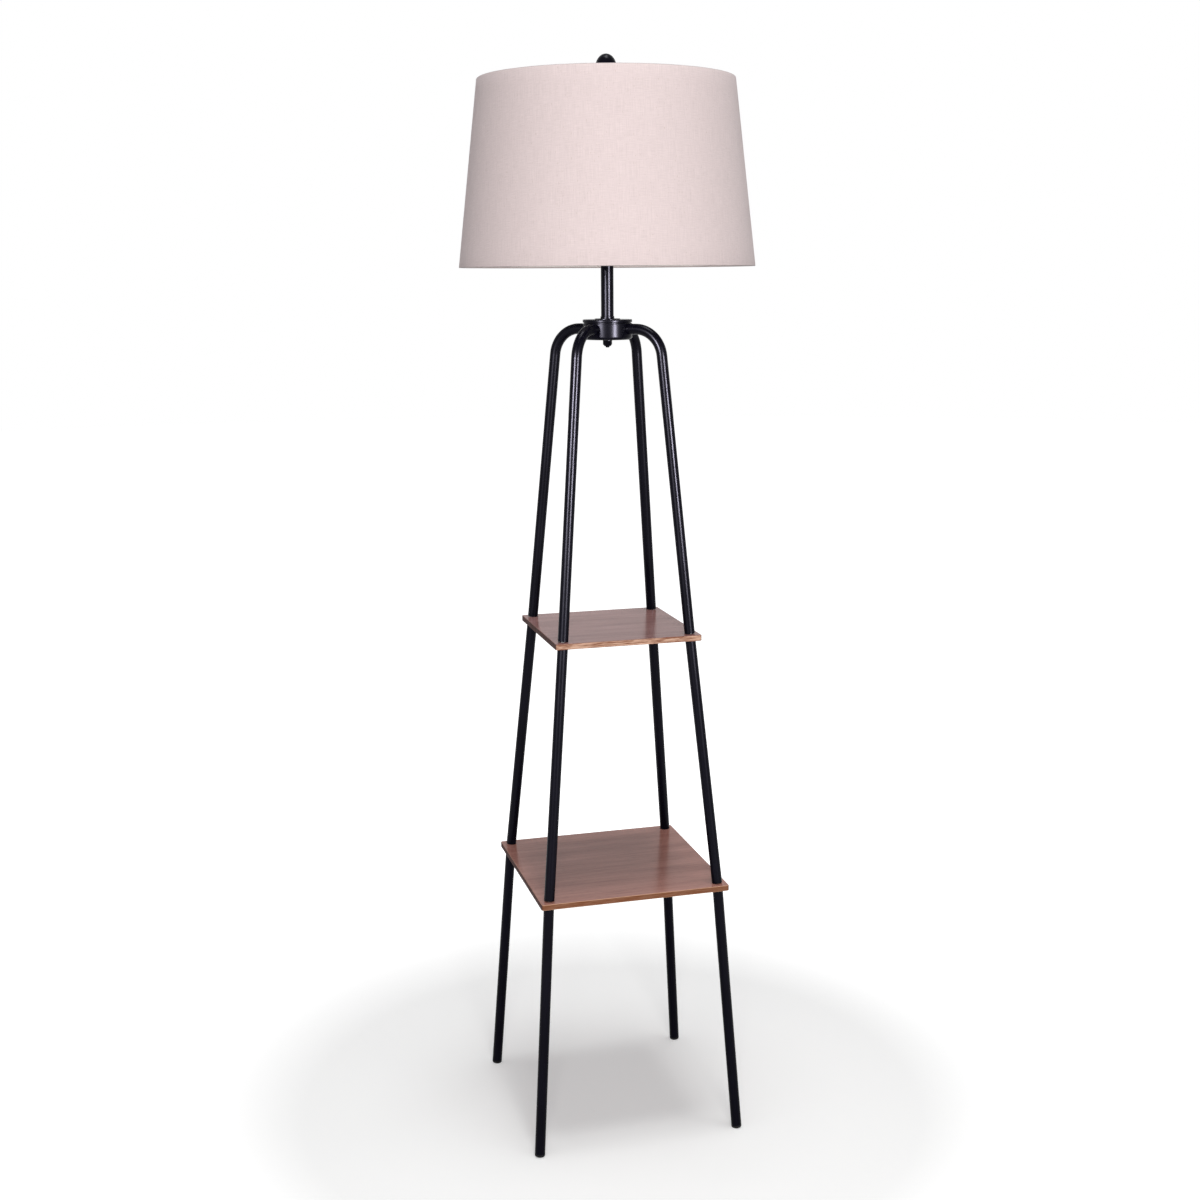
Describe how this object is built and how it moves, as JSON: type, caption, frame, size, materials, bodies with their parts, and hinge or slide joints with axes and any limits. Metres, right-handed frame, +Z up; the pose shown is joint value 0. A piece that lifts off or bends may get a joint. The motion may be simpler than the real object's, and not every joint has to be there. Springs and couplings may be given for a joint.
{
  "type": "shelf floor lamp",
  "caption": "Tall floor lamp with splayed tube legs, square wooden shelves, a round hub, a short pole and a tapered linen shade on a harp.",
  "frame": {"origin": "on the floor under the pole's axis", "axes": "+Z up along the pole, +X to the right and +Y to the back, along the edges of the shelves"},
  "size_m": [0.3959, 0.396, 1.473],
  "materials": {
    "black_metal": "satin black powder coat",
    "foot_plastic": "moulded black polyethylene",
    "shelf_wood": "walnut veneer with a satin lacquer",
    "zinc_steel": "zinc plated",
    "brass_parts": "polished",
    "harp_metal": "nickel plated wire and strip",
    "black_plastic": "moulded phenolic",
    "socket_card": "pressed insulating card",
    "bulb_metal": "rolled screw base",
    "frosted_glass": "inside frosted",
    "linen": "natural linen weave on a stiff translucent backing"
  },
  "bodies": {
    "frame": {"check_washer": "black_metal", "cord_grommet": "black_plastic", "foot_cap_back_left": "foot_plastic", "foot_cap_back_right": "foot_plastic", "foot_cap_front_left": "foot_plastic", "foot_cap_front_right": "foot_plastic", "harp": "harp_metal", "harp_saddle": "harp_metal", "harp_stud": "brass_parts", "hub_arm_inserts": "zinc_steel", "hub_arm_screws": "zinc_steel", "hub_cup": "black_metal", "hub_lid": "black_metal", "hub_nut": "black_metal", "hub_spacer": "zinc_steel", "hub_tie_rod": "black_metal", "hub_washer": "black_metal", "lid_plate": "black_metal", "lower_joint_inserts": "zinc_steel", "lower_joint_studs": "zinc_steel", "lower_leg_back_left": "black_metal", "lower_leg_back_right": "black_metal", "lower_leg_front_left": "black_metal", "lower_leg_front_right": "black_metal", "lower_shelf": "shelf_wood", "middle_leg_back_left": "black_metal", "middle_leg_back_right": "black_metal", "middle_leg_front_left": "black_metal", "middle_leg_front_right": "black_metal", "pole": "black_metal", "pole_bush": "zinc_steel", "pole_collar": "black_metal", "pole_plug": "zinc_steel", "screw_shell": "brass_parts", "socket_block": "black_plastic", "socket_cap": "brass_parts", "socket_liner": "socket_card", "socket_nipple": "zinc_steel", "socket_shell": "brass_parts", "switch_bush": "brass_parts", "upper_joint_inserts": "zinc_steel", "upper_joint_studs": "zinc_steel", "upper_leg_back_left": "black_metal", "upper_leg_back_right": "black_metal", "upper_leg_front_left": "black_metal", "upper_leg_front_right": "black_metal", "upper_shelf": "shelf_wood"},
    "shade": {"shade_shell": "linen", "shade_top_hem": "linen", "shade_bottom_hem": "linen", "shade_spider": "harp_metal", "shade_bottom_ring": "harp_metal"},
    "finial": {"finial": "black_metal"},
    "switch_key": {"switch_shaft": "brass_parts", "switch_knob": "black_plastic"},
    "bulb": {"bulb_base": "bulb_metal", "bulb_glass": "frosted_glass"},
    "ferrule_left": {"harp_ferrule_left": "harp_metal"},
    "ferrule_right": {"harp_ferrule_right": "harp_metal"}
  },
  "joints": [
    {"name": "shade_swivel", "type": "hinge", "parent": "frame", "child": "shade", "pos_m": [0, 0, 1.4271], "axis": [0, 0, 1], "continuous": true},
    {"name": "finial_turn", "type": "hinge", "parent": "frame", "child": "finial", "pos_m": [0, 0, 1.4271], "axis": [0, 0, 1], "continuous": true},
    {"name": "switch_turn", "type": "hinge", "parent": "frame", "child": "switch_key", "pos_m": [0, -0.03, 1.2373], "axis": [0, -1, 0], "continuous": true},
    {"name": "bulb_turn", "type": "hinge", "parent": "frame", "child": "bulb", "pos_m": [0, 0, 1.2464], "axis": [0, 0, 1], "continuous": true},
    {"name": "ferrule_left_lift", "type": "slide", "parent": "frame", "child": "ferrule_left", "axis": [0, 0, 1], "range_m": [0, 0.014]},
    {"name": "ferrule_right_lift", "type": "slide", "parent": "frame", "child": "ferrule_right", "axis": [0, 0, 1], "range_m": [0, 0.014]}
  ]
}
